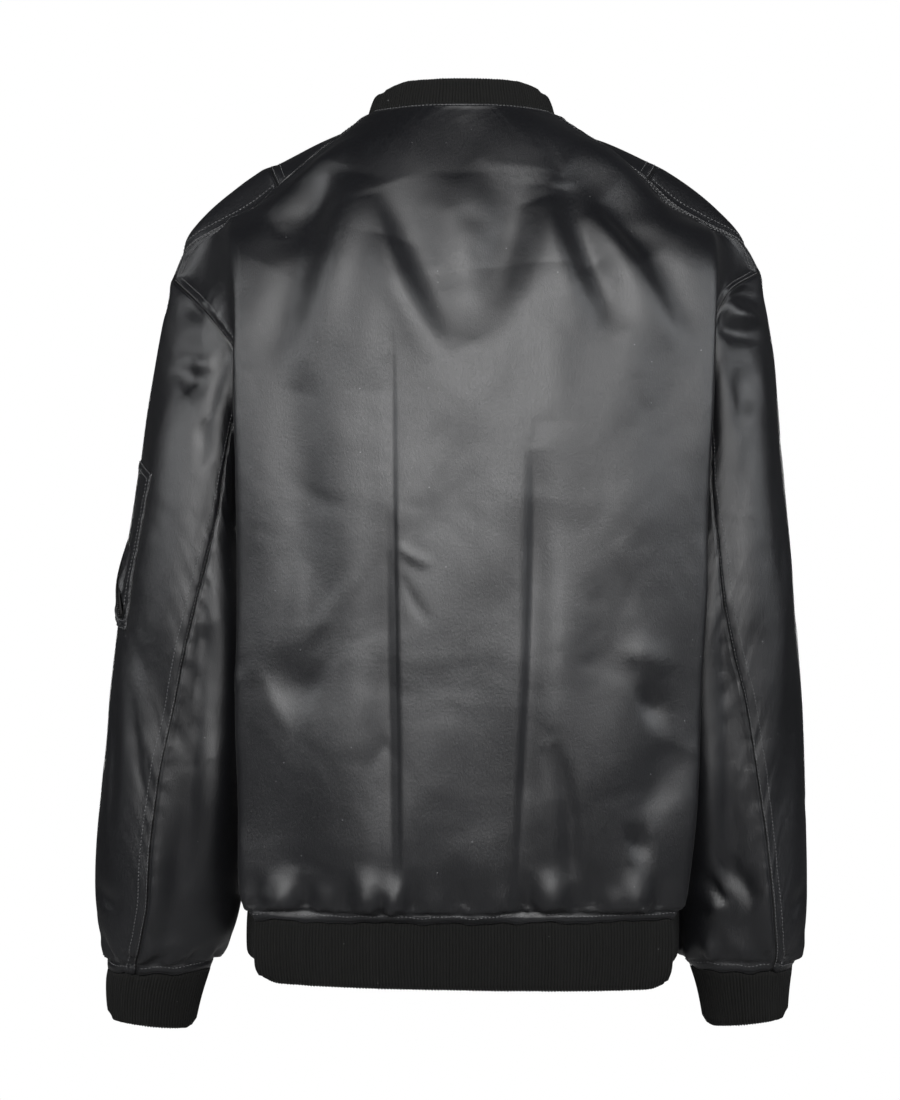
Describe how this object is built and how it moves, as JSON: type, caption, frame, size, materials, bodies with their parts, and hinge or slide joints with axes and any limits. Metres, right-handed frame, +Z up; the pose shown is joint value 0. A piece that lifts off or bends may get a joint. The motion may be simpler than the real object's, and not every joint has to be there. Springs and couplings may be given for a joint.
{
  "type": "satin bomber jacket",
  "caption": "Hollow worn-form bomber jacket of satin panels with rib-knit collar, cuffs and hem, a front zip and a zipped sleeve pocket, worn on the upper body.",
  "frame": {"origin": "middle of the neck opening, level with the back of the neck seam, where the wearer's neck and shoulders carry the jacket", "axes": "+X to the wearer's left, -Y out of the front, +Z up"},
  "size_m": [0.5871, 0.2666, 0.7696],
  "materials": {
    "satin": "black satin with a soft sheen",
    "rib_knit": "matte black rib-knit",
    "zip_metal": "dark, satin-smooth metal",
    "zip_tape": "black woven tape with black teeth"
  },
  "bodies": {
    "jacket": {"back": "satin", "front_left": "satin", "front_right": "satin", "yoke_left": "satin", "yoke_right": "satin", "sleeve_left_upper": "satin", "sleeve_left_under": "satin", "sleeve_right_upper": "satin", "sleeve_right_under": "satin", "sleeve_pocket": "satin", "hem_rib": "rib_knit", "collar_rib": "rib_knit", "cuff_left": "rib_knit", "cuff_right": "rib_knit", "front_zip": "zip_tape", "pocket_zip": "zip_tape", "front_zip_slider": "zip_metal", "pocket_zip_slider": "zip_metal"},
    "front_pull": {"front_zip_pull": "zip_metal"},
    "pocket_pull": {"pocket_zip_pull": "zip_metal"}
  },
  "joints": [
    {"name": "front_pull_swing", "type": "hinge", "parent": "jacket", "child": "front_pull", "pos_m": [0, -0.07574, -0.06465], "axis": [-1, 0, 0], "range_deg": [0, 170]},
    {"name": "pocket_pull_swing", "type": "hinge", "parent": "jacket", "child": "pocket_pull", "pos_m": [0.26803, -0.04567, -0.33296], "axis": [-0.2188, -0.7071, -0.6725], "range_deg": [0, 170]}
  ]
}
